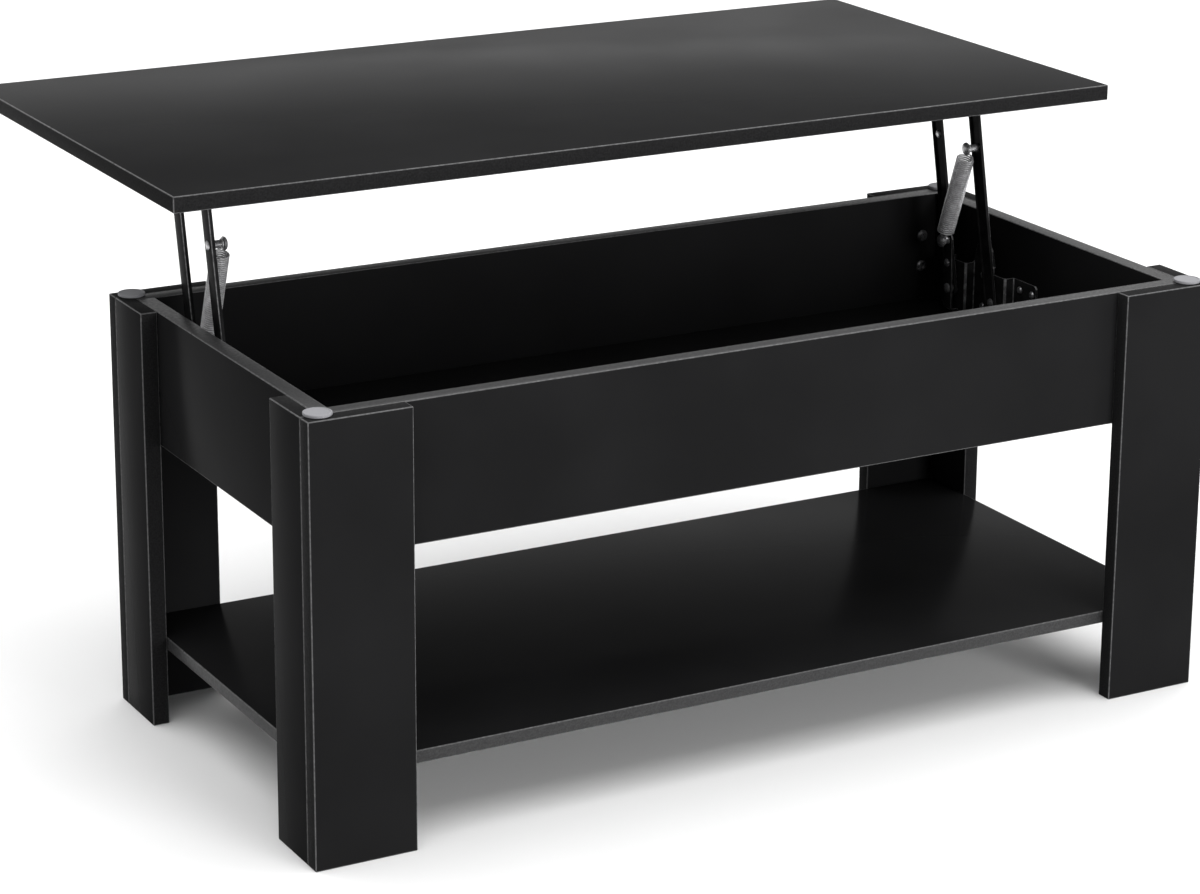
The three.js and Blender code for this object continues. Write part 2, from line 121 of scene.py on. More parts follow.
class LIFTTABLE_PG_fixings(bpy.types.PropertyGroup):
    pad_rim: length("Pad rim", "Width of the raised rim of a bumper pad", 0.0022)
    pad_dish: length("Pad dish", "Depth of the hollow inside the rim", 0.0004)
    pad_grey: colour("Pad", "Grey plastic of the bumper pads", (0.055, 0.055, 0.057))
    socket: length("Socket", "Radius of the hexagon socket in a bolt", 0.0026)
    screw_radius: length("Screw head", "Radius of a pan head screw", 0.0036)
    screw_height: length("Screw height", "Height of a pan head screw", 0.0022)
    screw_slot: length("Screw slot", "Width of the cross slot", 0.0009)
    zinc: colour("Zinc", "Plated steel of the pins, bolts and screws", (0.42, 0.42, 0.43))


class LIFTTABLE_PG_lift(bpy.types.PropertyGroup):
    sheet: length("Sheet", "Thickness of the folded steel", 0.002)
    bend: length("Bend", "Radius inside the folds", 0.0016)
    post_reach: length("Post reach", "From the end panel to the face of a post", 0.013)
    post_width: length("Post width", "Width of a post along the table's end", 0.036)
    post_rise: length("Post rise", "From the pivots to the top of the posts", 0.029)
    tongue_width: length("Tongue width", "Screw tongue between the posts", 0.024)
    corner: length("Corner", "Radius of the corners of brackets and rails", 0.005)
    cut_edge: length("Cut edge", "Radius of the broken edges of the sheet", 0.0003)
    stop_width: length("Stop", "Height of the bent tab behind the rear arm", 0.014)
    stop_corner: length("Stop corner", "Radius of the corners of the bent tab", 0.003)
    strap_width: length("Strap width", "Width of the strap that holds a spring", 0.014)
    rail_taper: number("Rail taper", "Lower edge of a rail as a share of its upper edge", 0.86)
    arm_width: length("Arm width", "Width of the channel arms", 0.017)
    arm_wall: length("Arm wall", "Thickness of the channel arms", 0.0016)
    wire: length("Wire", "Thickness of the spring wire", 0.0018)
    stud: length("Stud", "Radius of a spring stud under its head", 0.00275)
    collar: length("Collar", "How far a stud's collar stands out from it", 0.001)
    play: length("Play", "Clearance between pieces that move on each other", 0.0003)
    coil_end: length("Coil end", "From a stud's axis to the first coil", 0.0114)
    turns: IntProperty(
        name="Turns", description="Turns in each spring", default=38, min=10, max=60)
    paint: colour("Paint", "Black coat on the steel", (0.011, 0.011, 0.0113))
    # A lighter tint for the outside of the bends: it paints the highlight that runs along each
    # fold.
    rubbed: colour(
        "Rubbed bend", "Steel showing through the coat along the bends", (0.16, 0.16, 0.163))
    steel: colour("Spring steel", "Bright drawn wire", (0.55, 0.55, 0.56))


class LIFTTABLE_PG_stage(bpy.types.PropertyGroup):
    floor: colour("Floor", "Pale matt studio floor", (0.86, 0.86, 0.86))
    sky: number("Room", "Brightness of the room", 0.5, min=0)
    shade: number(
        "Shade", "Share by which the room darkens to the front left", 0.6, min=0, max=1)
    key: number("Key", "Power of the overhead light", 480, min=0, unit="POWER")
    fill: number("Fill", "Power of the front light", 165, min=0, unit="POWER")
    lens: number("Lens", "Focal length", 106.96, min=1, unit="CAMERA")
    rise: number("Rise", "Shift of the frame, upwards if positive", -0.081)


def sizes_of(context, group):
    return getattr(context.scene, f"lift_table_{group}")


# ---------------------------------------------------------------- steps used by every piece

SAME_PLACE = 1e-5
MERGE_DISTANCE = 1e-6
STRAIGHT = 0.99      # cosine past which an edge or a face lies along an axis
FLAT = 0.999         # the same, kept tight enough to leave out the faces of a rounded arris
ON_BEND = 0.96       # largest part of the normal of a face on a bend
FOLD_ANGLE = 0.5     # radians past which two faces meet in a fold
ARRIS_ANGLE = 50     # degrees past which they meet in an arris


def only(piece):
    """Leaves one object selected and active."""
    bpy.ops.object.select_all(action="DESELECT")
    piece.select_set(True)
    bpy.context.view_layer.objects.active = piece


def settle(piece):
    """Puts a piece's place, turn and scale into its mesh."""
    only(piece)
    bpy.ops.object.transform_apply(location=True, rotation=True, scale=True)


def start(kind, name, scale=(1, 1, 1), **settings):
    """Adds a primitive at its size and place."""
    bpy.ops.object.select_all(action="DESELECT")
    getattr(bpy.ops.mesh, f"primitive_{kind}_add")(**settings)
    piece = bpy.context.object
    piece.name = name
    piece.data.name = name
    piece.scale = scale
    settle(piece)
    return piece


def block(name, low, high):
    low, high = Vector(low), Vector(high)
    return start("cube", name, size=1, location=(low + high) / 2, scale=high - low)


def edit(piece):
    only(piece)
    bpy.ops.object.mode_set(mode="EDIT")


def leave():
    bpy.ops.object.mode_set(mode="OBJECT")


def pick(kind, test):
    """Selects, in edit mode, the elements of one kind that pass a test."""
    bpy.ops.mesh.select_mode(type=kind)
    bpy.ops.mesh.select_all(action="DESELECT")
    mesh = bpy.context.object.data
    work = bmesh.from_edit_mesh(mesh)
    elements = {"FACE": work.faces, "EDGE": work.edges, "VERT": work.verts}[kind]
    chosen = [element for element in elements if test(element)]
    if not chosen:
        raise RuntimeError(f"{mesh.name}: no {kind.lower()} found for the next step")
    for element in chosen:
        element.select_set(True)
    bmesh.update_edit_mesh(mesh)


def middle(edge):
    return (edge.verts[0].co + edge.verts[1].co) / 2


def runs_along(edge, axis):
    way = (edge.verts[1].co - edge.verts[0].co).normalized()
    return abs(way[axis]) > STRAIGHT


def near(a, b):
    return abs(a - b) < SAME_PLACE


def extrude(x=0.0, y=0.0, z=0.0):
    bpy.ops.mesh.extrude_region_move(TRANSFORM_OT_translate={"value": (x, y, z)})


def round_edges(radius, segments, affect="EDGES"):
    bpy.ops.mesh.bevel(offset=radius, segments=segments, affect=affect, clamp_overlap=True)


def narrow_along_y(share, centre):
    bpy.ops.transform.resize(value=(1, share, 1), center_override=centre)


def modify(piece, kind, **settings):
    """Adds a modifier with its settings and applies it."""
    only(piece)
    modifier = piece.modifiers.new(kind.title(), kind)
    for setting, value in settings.items():
        setattr(modifier, setting, value)
    bpy.ops.object.modifier_apply(modifier=modifier.name)


def break_arrises(piece, radius):
    modify(piece, "BEVEL", width=radius, segments=2, limit_method="ANGLE",
           angle_limit=math.radians(ARRIS_ANGLE), harden_normals=False)


def face_outwards(piece):
    edit(piece)
    bpy.ops.mesh.select_all(action="SELECT")
    bpy.ops.mesh.remove_doubles(threshold=MERGE_DISTANCE)
    bpy.ops.mesh.normals_make_consistent(inside=False)
    leave()


def smooth(piece, degrees=35):
    only(piece)
    bpy.ops.object.shade_smooth_by_angle(angle=math.radians(degrees))


def cut(piece, cutter):
    modify(piece, "BOOLEAN", operation="DIFFERENCE", solver="EXACT", object=cutter)
    bpy.data.objects.remove(cutter)


def join(piece, other):
    only(piece)
    other.select_set(True)
    bpy.ops.object.join()


def mirrored(piece, name):
    """The same piece at the right end of the table."""
    only(piece)
    bpy.ops.object.duplicate(linked=False)
    twin = bpy.context.object
    twin.name = name
    twin.data.name = name
    twin.scale.x = -1
    settle(twin)
    face_outwards(twin)
    return twin


def turned(name, stations, sides=32):
    """A round piece that stands on +Z, from a list of (height, radius) stations."""
    height, radius = stations[0]
    piece = start("circle", name, vertices=sides, radius=radius, fill_type="NGON",
                  location=(0, 0, height))
    edit(piece)
    bpy.ops.mesh.select_all(action="SELECT")
    for next_height, next_radius in stations[1:]:
        extrude(z=next_height - height)
        share = next_radius / radius
        bpy.ops.transform.resize(
            value=(share, share, 1), center_override=(0, 0, next_height))
        height, radius = next_height, next_radius
    leave()
    face_outwards(piece)
    return piece


def profile(shares, height, radius, foot=0.0):
    """Stations from pairs of a share of a height and a share of a radius."""
    return [(foot + height * up, radius * out) for up, out in shares]


def laid_along(piece, axis, place):
    """Turns a piece from +Z to another axis and moves its foot to a place."""
    piece.rotation_mode = "QUATERNION"
    piece.rotation_quaternion = Vector((0, 0, 1)).rotation_difference(Vector(axis))
    piece.location = place
    settle(piece)
    return piece


def folded(piece, sizes):
    """Gives a folded sheet its bends, its thickness and its broken arrises."""
    edit(piece)
    pick("EDGE", lambda edge: edge.calc_face_angle(0) > FOLD_ANGLE)
    round_edges(sizes.bend + sizes.sheet / 2, segments=4)
    leave()
    modify(piece, "SOLIDIFY", thickness=sizes.sheet, offset=0, use_even_offset=True)
    face_outwards(piece)
    break_arrises(piece, sizes.cut_edge)
    # The faces on the bends take the second, lighter material: a painted highlight along each
    # fold.
    painted(piece, shared(black_paint, sizes), shared(bend_highlight, sizes))
    shine_where(piece, lambda face: max(abs(part) for part in face.normal) < ON_BEND)


def painted(piece, *materials):
    piece.data.materials.clear()
    for material in materials:
        piece.data.materials.append(material)


def shine_where(piece, test):
    """Gives a piece's second material to the faces that pass a test."""
    for face in piece.data.polygons:
        face.material_index = 1 if test(face) else 0


def stands_for(piece, node):
    """The piece rides with the body of the CAD node that it replaces, and the node is hidden."""
    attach(piece, BODY_OF[node])
    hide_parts(node)


def both_ends(piece, part):
    """Places the left piece and its twin for the same part at both ends."""
    twin = mirrored(piece, f"right_{part}_made")
    for end, made in (("left", piece), ("right", twin)):
        smooth(made)
        stands_for(made, f"{end}_{part}")


def added_at_both_ends(piece, body, part):
    """Like both_ends, for small hardware that has no CAD node."""
    twin = mirrored(piece, f"right_{part}")
    for made in (piece, twin):
        smooth(made)
        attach(made, body)


# ---------------------------------------------------------------- materials

# The spans of the noise over which a tint and a gloss go from one end to the other.
TINT_SPAN = (0.35, 0.65)
GLOSS_SPAN = (0.3, 0.7)


def new_material(name, metallic=0.0, specular=0.5):
    material = bpy.data.materials.new(name)
    material.use_nodes = True
    surface = material.node_tree.nodes["Principled BSDF"]
    surface.inputs["Metallic"].default_value = metallic
    surface.inputs["Specular IOR Level"].default_value = specular
    return material, material.node_tree, surface


def noise(tree, scale, detail):
    """A noise pattern fixed to the piece, so that it moves with it."""
    place = tree.nodes.new("ShaderNodeTexCoord")
    pattern = tree.nodes.new("ShaderNodeTexNoise")
    pattern.inputs["Scale"].default_value = scale
    pattern.inputs["Detail"].default_value = detail
    tree.links.new(place.outputs["Object"], pattern.inputs["Vector"])
    return pattern.outputs["Fac"]


def tinted(tree, surface, pattern, tint, dark, light):
    """Spreads the colour between a dark and a light share of the tint."""
    ramp = tree.nodes.new("ShaderNodeValToRGB")
    for stop, position, share in zip(ramp.color_ramp.elements, TINT_SPAN, (dark, light)):
        stop.position = position
        stop.color = (*(min(1, channel * share) for channel in tint), 1)
    tree.links.new(pattern, ramp.inputs["Fac"])
    tree.links.new(ramp.outputs["Color"], surface.inputs["Base Color"])


def roughened(tree, surface, pattern, low, high):
    spread = tree.nodes.new("ShaderNodeMapRange")
    spread.inputs["From Min"].default_value = GLOSS_SPAN[0]
    spread.inputs["From Max"].default_value = GLOSS_SPAN[1]
    spread.inputs["To Min"].default_value = low
    spread.inputs["To Max"].default_value = high
    tree.links.new(pattern, spread.inputs["Value"])
    tree.links.new(spread.outputs["Result"], surface.inputs["Roughness"])


def bumped(tree, surface, pattern, strength, height):
    bump = tree.nodes.new("ShaderNodeBump")
    bump.inputs["Strength"].default_value = strength
    bump.inputs["Distance"].default_value = height
    tree.links.new(pattern, bump.inputs["Height"])
    tree.links.new(bump.outputs["Normal"], surface.inputs["Normal"])


def laminate_face(sizes):
    """Satin black melamine: nearly even, with a fine pressed texture and faint handling marks."""
    material, tree, surface = new_material("laminate_face", specular=0.004)
    tinted(tree, surface, noise(tree, scale=7, detail=3), sizes.face, dark=0.9, light=1.12)
    roughened(tree, surface, noise(tree, scale=4.5, detail=4), low=0.16, high=0.24)
    bumped(tree, surface, noise(tree, scale=1400, detail=2), strength=0.06, height=0.00004)
    return material


def banding(name, tint, specular):
    """Edge strip, with a fine salt-and-pepper grain."""
    material, tree, surface = new_material(name, specular=specular)
    tinted(tree, surface, noise(tree, scale=620, detail=3), tint, dark=0.72, light=1.3)
    roughened(tree, surface, noise(tree, scale=300, detail=2), low=0.34, high=0.48)
    bumped(tree, surface, noise(tree, scale=900, detail=2), strength=0.15, height=0.00006)
    return material


def edge_band(sizes):
    """The greyer strip on the box and the shelf, which shines at a low angle."""
    return banding("edge_band", sizes.band, specular=0.15)


def dark_edge_band(sizes):
    """The strip on the top and the legs, as dull as their faces."""
    return banding("dark_edge_band", sizes.dark_band, specular=0.005)


def arris_highlight(sizes):
    """The rounded-over edge, with a painted highlight: a lighter colour than the faces beside it.
    """
    material, tree, surface = new_material("arris_highlight", specular=0.2)
    tinted(tree, surface, noise(tree, scale=260, detail=3), sizes.worn, dark=0.7, light=1.3)
    roughened(tree, surface, noise(tree, scale=150, detail=2), low=0.25, high=0.38)
    return material


def black_paint(sizes):
    """Black coat on steel, with the slight orange peel of powder paint."""
    material, tree, surface = new_material("black_paint", specular=0.01)
    tinted(tree, surface, noise(tree, scale=90, detail=3), sizes.paint, dark=0.8, light=1.5)
    roughened(tree, surface, noise(tree, scale=60, detail=3), low=0.14, high=0.24)
    bumped(tree, surface, noise(tree, scale=700, detail=2), strength=0.15, height=0.00006)
    return material


def bend_highlight(sizes):
    """The outside of a bend, with a painted highlight: a lighter colour than the black coat beside
    it.
    """
    material, tree, surface = new_material("bend_highlight", metallic=0.3)
    tinted(tree, surface, noise(tree, scale=200, detail=3), sizes.rubbed, dark=0.6, light=1.4)
    roughened(tree, surface, noise(tree, scale=150, detail=3), low=0.18, high=0.34)
    return material


def bright_wire(sizes):
    """Drawn spring wire, with faint draw marks."""
    material, tree, surface = new_material("bright_wire", metallic=0.6)
    tinted(tree, surface, noise(tree, scale=180, detail=3), sizes.steel, dark=0.8, light=1.2)
    roughened(tree, surface, noise(tree, scale=400, detail=3), low=0.08, high=0.18)
    return material


def zinc_plate(sizes):
    """Dull plated steel of pins, studs, bolts and screws."""
    material, tree, surface = new_material("zinc_plate", metallic=0.8)
    tinted(tree, surface, noise(tree, scale=350, detail=4), sizes.zinc, dark=0.6, light=1.25)
    roughened(tree, surface, noise(tree, scale=500, detail=3), low=0.22, high=0.42)
    bumped(tree, surface, noise(tree, scale=900, detail=2), strength=0.2, height=0.00008)
    return material


def pad_plastic(sizes):
    """Matt grey plastic with a fine moulded stipple."""
    material, tree, surface = new_material("pad_plastic", specular=0.15)
    tinted(tree, surface, noise(tree, scale=800, detail=3), sizes.pad_grey, dark=0.82, light=1.15)
    roughened(tree, surface, noise(tree, scale=400, detail=2), low=0.45, high=0.62)
    bumped(tree, surface, noise(tree, scale=1200, detail=2), strength=0.35, height=0.0001)
    return material


def studio_floor(sizes):
    material, tree, surface = new_material("studio_floor", specular=0.2)
    surface.inputs["Roughness"].default_value = 0.9
    tinted(tree, surface, noise(tree, scale=0.8, detail=2), sizes.floor, dark=0.995, light=1)
    return material


def shared(make, sizes):
    """The material that a function makes, made once and used again."""
    return bpy.data.materials.get(make.__name__) or make(sizes)


# ---------------------------------------------------------------- boards

def board(node, sizes, band=edge_band):
    """A laminated board: broad faces, banded edges, and every arris rounded over."""
    low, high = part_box(node)
    thin = min(range(3), key=lambda axis: (high - low)[axis])
    piece = block(f"{node}_board", low, high)
    edit(piece)
    bpy.ops.mesh.select_all(action="SELECT")
    round_edges(sizes.arris, segments=3)
    leave()
    painted(piece, shared(laminate_face, sizes), shared(band, sizes), shared(arris_highlight, sizes))
    # The faces of the rounded arris take the third, lighter material: a painted highlight along
    # every edge.
    for face in piece.data.polygons:
        square_on = max(abs(part) for part in face.normal) > FLAT
        broad = abs(face.normal[thin]) > FLAT
        face.material_index = 0 if broad else 1 if square_on else 2
    smooth(piece)
    stands_for(piece, node)


class LIFTTABLE_OT_top(bpy.types.Operator):
    """Model the table top"""
    bl_idname = "lift_table.top"
    bl_label = "Table top"

    def execute(self, context):
        board("table_top", sizes_of(context, "boards"), dark_edge_band)
        return {"FINISHED"}


class LIFTTABLE_OT_legs(bpy.types.Operator):
    """Model the two boards of each of the four legs"""
    bl_idname = "lift_table.legs"
    bl_label = "Legs"

    def execute(self, context):
        for corner in CORNERS:
            for side in ("long", "short"):
                board(f"{corner}_leg_{side}_side", sizes_of(context, "boards"), dark_edge_band)
        return {"FINISHED"}


class LIFTTABLE_OT_box(bpy.types.Operator):
    """Model the storage box under the top"""
    bl_idname = "lift_table.box"
    bl_label = "Storage box"

    def execute(self, context):
        panels = ("front_box_panel", "back_box_panel", "left_end_panel", "right_end_panel")
        for node in (*panels, "box_floor"):
            board(node, sizes_of(context, "boards"))
        return {"FINISHED"}


class LIFTTABLE_OT_shelf(bpy.types.Operator):
    """Model the lower shelf"""
    bl_idname = "lift_table.shelf"
    bl_label = "Lower shelf"

    def execute(self, context):
        board("lower_shelf", sizes_of(context, "boards"))
        return {"FINISHED"}


# ---------------------------------------------------------------- pads, bolts and screws
# Each profile is a list of shares of the height and of the radius.

PAD_RIM = ((0, 0.97), (0.15, 1), (0.75, 1), (0.93, 0.985), (1, 0.95))
BOLT_HEAD = ((0, 0.5), (0.12, 0.72), (0.4, 0.93), (0.8, 1), (1, 0.97))
SCREW_HEAD = ((0, 1), (0.35, 1), (0.7, 0.9), (0.92, 0.68), (1, 0.35))


class LIFTTABLE_OT_pads(bpy.types.Operator):
    """Model the round pads that the closed top rests on"""
    bl_idname = "lift_table.pads"
    bl_label = "Bumper pads"

    def execute(self, context):
        sizes = sizes_of(context, "fixings")
        for corner in CORNERS:
            node = f"{corner}_bumper_pad"
            low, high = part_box(node)
            radius = (high.x - low.x) / 2
            height = high.z - low.z
            inside = radius - sizes.pad_rim
            dish = height - sizes.pad_dish
            pad = turned(f"{node}_made", [
                *profile(PAD_RIM, height, radius),
                (height, inside + sizes.pad_dish), (dish, inside), (dish, inside / 2),
            ], sides=64)
            laid_along(pad, (0, 0, 1), ((low.x + high.x) / 2, (low.y + high.y) / 2, low.z))
            painted(pad, shared(pad_plastic, sizes))
            smooth(pad)
            stands_for(pad, node)
        return {"FINISHED"}


class LIFTTABLE_OT_bolts(bpy.types.Operator):
    """Model the bolts that hold the box to the legs"""
    bl_idname = "lift_table.bolts"
    bl_label = "Leg bolts"

    def execute(self, context):
        sizes = sizes_of(context, "fixings")
        nodes = [node for node in BODY_OF if "_leg_bolt_" in node]
        for node in nodes:
            low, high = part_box(node)
            head = (high.x - low.x) / 2
            dome = shank = head / 2
            point = shank * 0.6
            run = high.y - low.y
            bolt = turned(f"{node}_made", [
                *profile(BOLT_HEAD, dome, head),
                (dome, shank), (run - shank / 3, shank), (run, point),
            ])
            socket = start("cylinder", "socket", vertices=6, radius=sizes.socket, depth=dome)
            cut(bolt, socket)
            back = node.startswith("back")
            crown = ((low.x + high.x) / 2, low.y if back else high.y, (low.z + high.z) / 2)
            laid_along(bolt, (0, 1 if back else -1, 0), crown)
            painted(bolt, shared(zinc_plate, sizes))
            smooth(bolt)
            stands_for(bolt, node)
        return {"FINISHED"}


def pan_screw(name, sizes, axis, place):
    """A pan head screw with a cross slot; its foot is the face that it clamps."""
    radius, height = sizes.screw_radius, sizes.screw_height
    screw = turned(name, profile(SCREW_HEAD, height, radius), sides=24)
    slot, arm = sizes.screw_slot / 2, radius * 0.62
    slot_floor, above_head = height * 0.45, height * 2
    for low, high in (((-arm, -slot), (arm, slot)), ((-slot, -arm), (slot, arm))):
        cut(screw, block("slot", (*low, slot_floor), (*high, above_head)))
    face_outwards(screw)
    return laid_along(screw, axis, place)


class LIFTTABLE_OT_screws(bpy.types.Operator):
    """Add the screws that hold the brackets and rails, which only the surface shows"""
    bl_idname = "lift_table.screws"
    bl_label = "Bracket and rail screws"

    def execute(self, context):
        sizes = sizes_of(context, "fixings")
        lift = sizes_of(context, "lift")
        bracket_low, bracket_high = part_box("left_base_bracket")
        plate = bracket_low.x + lift.sheet
        tongue = (FRONT_PIVOT + PIVOT_SPACING / 2).y
        tongue_tip, tongue_foot = bracket_high.z - 0.008, FRONT_PIVOT.z + 0.0195
        upper_row, lower_row = FRONT_PIVOT.z + 0.019, FRONT_PIVOT.z - 0.0135
        wing_edge, wing_middle, wing_root = (
            bracket_low.y + inset for inset in (0.0065, 0.017, 0.027))
        spots = [
            (tongue, tongue_tip), (tongue, tongue_foot), (tongue, lower_row),
            (wing_edge, upper_row), (wing_root, upper_row), (wing_middle, lower_row),
        ]
        for count, (y, z) in enumerate(spots, 1):
            part = f"bracket_screw_{count}"
            screw = pan_screw(f"left_{part}", sizes, (1, 0, 0), (plate, y, z))
            painted(screw, shared(zinc_plate, sizes))
            added_at_both_ends(screw, "base", part)
        low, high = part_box("left_top_rail")
        from_edge, from_end, rail_screws = 0.009, 0.012, 4
        x = high.x - from_edge
        spacing = (high.y - low.y - 2 * from_end) / (rail_screws - 1)
        for count in range(rail_screws):
            part = f"rail_screw_{count + 1}"
            y = low.y + from_end + count * spacing
            screw = pan_screw(f"left_{part}", sizes, (0, 0, -1), (x, y, high.z - lift.sheet))
            painted(screw, shared(zinc_plate, sizes))
            added_at_both_ends(screw, "top", part)
        return {"FINISHED"}


# ---------------------------------------------------------------- lift mechanism
# Each piece is modelled for the left end and mirrored to the right. A head's profile is a list of
# shares of its height and of its radius.

RIVET_HEAD = ((0, 0.45), (0.3, 0.82), (0.6, 1), (1, 1))
STUD_HEAD = ((0, 0.92), (0.12, 1), (0.35, 0.98), (0.6, 0.88), (0.82, 0.66), (1, 0.3))
STUD_RIVET = ((0, 1), (0.6, 1.5), (1, 1.6))
PIN_HEAD_HEIGHT = 0.002
STUD_RIVET_HEIGHT = 0.001
COLLAR_START = 0.003    # from a stud's riveted end


def post_folds(sizes):
    """The bracket's walk along the end panel: out and back at each of its two posts."""
    reach = sizes.post_reach - sizes.sheet
    width = sizes.post_width - sizes.sheet
    gap = PIVOT_SPACING.y - width
    post = [(reach, 0), (0, width), (-reach, 0)]
    return [*post, (0, gap), *post]


class LIFTTABLE_OT_brackets(bpy.types.Operator):
    """Fold the base brackets with their posts, screw tongue, wing and stop"""
    bl_idname = "lift_table.brackets"
    bl_label = "Base brackets"

    def execute(self, context):
        sizes = sizes_of(context, "lift")
        low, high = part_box("left_base_bracket")
        half = sizes.sheet / 2
        plate = low.x + half
        top = FRONT_PIVOT.z + sizes.post_rise
        first_fold = FRONT_PIVOT.y - sizes.post_width / 2 + half
        centre = (plate, (low.y + first_fold) / 2, (low.z + top) / 2)
        bracket = start("plane", "left_base_bracket_made", size=1, location=centre,
                        rotation=(0, math.radians(90), 0),
                        scale=(top - low.z, first_fold - low.y, 1))
        edit(bracket)
        pick("EDGE", lambda edge: near(middle(edge).y, first_fold))
        for x, y in post_folds(sizes):
            extrude(x=x, y=y)
        tongue_y = (FRONT_PIVOT + PIVOT_SPACING / 2).y
        pick("EDGE", lambda edge: near(middle(edge).z, top) and near(middle(edge).y, tongue_y))
        extrude(z=high.z - top)
        narrowed = sizes.tongue_width / (PIVOT_SPACING.y - sizes.post_width + sizes.sheet)
        narrow_along_y(narrowed, (plate, tongue_y, high.z))
        pick("VERT", lambda vert: near(vert.co.z, high.z) or near(vert.co.y, low.y))
        round_edges(sizes.corner, segments=5, affect="VERTICES")
        leave()
        folded(bracket, sizes)
        join(bracket, self.stop_tab(sizes))
        both_ends(bracket, "base_bracket")
        return {"FINISHED"}

    def stop_tab(self, sizes):
        """The tab bent across the rear arm's path, along the back edge of the raised arm."""
        edge = sizes.arm_width / 2 + sizes.play
        rise = sizes.post_rise / math.cos(ARM_LEAN)
        fall = (sizes.post_rise - sizes.stop_width) / math.cos(ARM_LEAN)
        face = END_PANEL_FACE + sizes.post_reach - sizes.sheet / 2
        tab = block("stop_tab", (face, edge, fall), (ARM_OPEN_SIDE, edge + sizes.sheet, rise))
        edit(tab)
        pick("EDGE", lambda e: runs_along(e, 1) and near(middle(e).x, ARM_OPEN_SIDE))
        round_edges(sizes.stop_corner, segments=4)
        leave()
        break_arrises(tab, sizes.cut_edge)
        tab.rotation_euler.x = -ARM_LEAN
        tab.location = (0, REAR_PIVOT.y, REAR_PIVOT.z)
        settle(tab)
        painted(tab, shared(black_paint, sizes))
        return tab


class LIFTTABLE_OT_hangers(bpy.types.Operator):
    """Fold the straps that carry the lower ends of the springs"""
    bl_idname = "lift_table.hangers"
    bl_label = "Spring hangers"

    def execute(self, context):
        sizes = sizes_of(context, "lift")
        low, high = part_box("left_spring_hanger")
        half = sizes.sheet / 2
        x = high.x - half
        foot = low.z + half
        width = sizes.strap_width
        shift = LOWER_STUD.y - REAR_PIVOT.y
        hanger = start("plane", "left_spring_hanger_made", size=1,
                       location=(x, REAR_PIVOT.y, (foot + high.z) / 2),
                       rotation=(0, math.radians(90), 0),
                       scale=(high.z - foot, width, 1))
        edit(hanger)
        pick("EDGE", lambda edge: near(middle(edge).z, high.z))
        bpy.ops.transform.translate(value=(0, shift, 0))
        pick("EDGE", lambda edge: near(middle(edge).z, foot))
        extrude(x=low.x - x)
        pick("VERT", lambda vert: near(vert.co.z, high.z))
        nearly_round = width * 0.48
        round_edges(nearly_round, segments=8, affect="VERTICES")
        leave()
        folded(hanger, sizes)
        both_ends(hanger, "spring_hanger")
        return {"FINISHED"}


def channel_arm(name, sizes, pivot):
    """A pressed channel with round ends, open towards the middle of the table."""
    half = sizes.arm_width / 2
    wall = sizes.arm_wall
    nearly_round, outer_bend, lip = half * 0.98, wall * 0.9, wall * 0.2
    tip = ARM_RUN.length + half
    arm = block(name, (ARM_BACK, -half, -half), (ARM_OPEN_SIDE, half, tip))
    edit(arm)
    pick("EDGE", lambda edge: runs_along(edge, 0))
    round_edges(nearly_round, segments=10)
    pick("EDGE", lambda edge: near(middle(edge).x, ARM_BACK) and not runs_along(edge, 0))
    round_edges(outer_bend, segments=4)
    pick("FACE", lambda face: face.normal.x > STRAIGHT)
    bpy.ops.mesh.inset(thickness=wall)
    extrude(x=ARM_BACK - ARM_OPEN_SIDE + wall)
    pick("EDGE", lambda edge: near(middle(edge).x, ARM_OPEN_SIDE))
    round_edges(lip, segments=1)
    leave()
    face_outwards(arm)
    painted(arm, shared(black_paint, sizes), shared(bend_highlight, sizes))
    # The channel's outer bends face between its back and its sides; they take the second material,
    # a painted highlight along each bend.
    shine_where(arm, lambda face: -0.9 < face.normal.x < -0.4)
    arm.rotation_euler.x = -ARM_LEAN
    arm.location = (0, pivot.y, pivot.z)
    settle(arm)
    return arm


class LIFTTABLE_OT_arms(bpy.types.Operator):
    """Press the four channel arms"""
    bl_idname = "lift_table.arms"
    bl_label = "Lift arms"

    def execute(self, context):
        sizes = sizes_of(context, "lift")
        for part, pivot in (("front_arm", FRONT_PIVOT), ("rear_arm", REAR_PIVOT)):
            arm = channel_arm(f"left_{part}_made", sizes, pivot)
            both_ends(arm, part)
        return {"FINISHED"}


class LIFTTABLE_OT_rails(bpy.types.Operator):
    """Fold the angle rails under the top"""
    bl_idname = "lift_table.rails"
    bl_label = "Top rails"

    def execute(self, context):
        sizes = sizes_of(context, "lift")
        low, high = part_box("left_top_rail")
        half = sizes.sheet / 2
        flat = high.z - half
        upright = low.x + half
        rail = start("plane", "left_top_rail_made", size=1,
                     location=((upright + high.x) / 2, (low.y + high.y) / 2, flat),
                     scale=(high.x - upright, high.y - low.y, 1))
        edit(rail)
        pick("EDGE", lambda edge: near(middle(edge).x, upright))
        extrude(z=low.z - flat)
        between_pivots = (FRONT_UPPER_PIVOT + PIVOT_SPACING / 2).y
        narrow_along_y(sizes.rail_taper, (upright, between_pivots, low.z))
        pick("VERT", lambda vert: near(vert.co.x, high.x) or near(vert.co.z, low.z))
        round_edges(sizes.corner, segments=5, affect="VERTICES")
        leave()
        folded(rail, sizes)
        both_ends(rail, "top_rail")
        return {"FINISHED"}


def turned_over(stations, height):
    """The same stations from the other end of a height."""
    return [(height - along, radius) for along, radius in reversed(stations)]


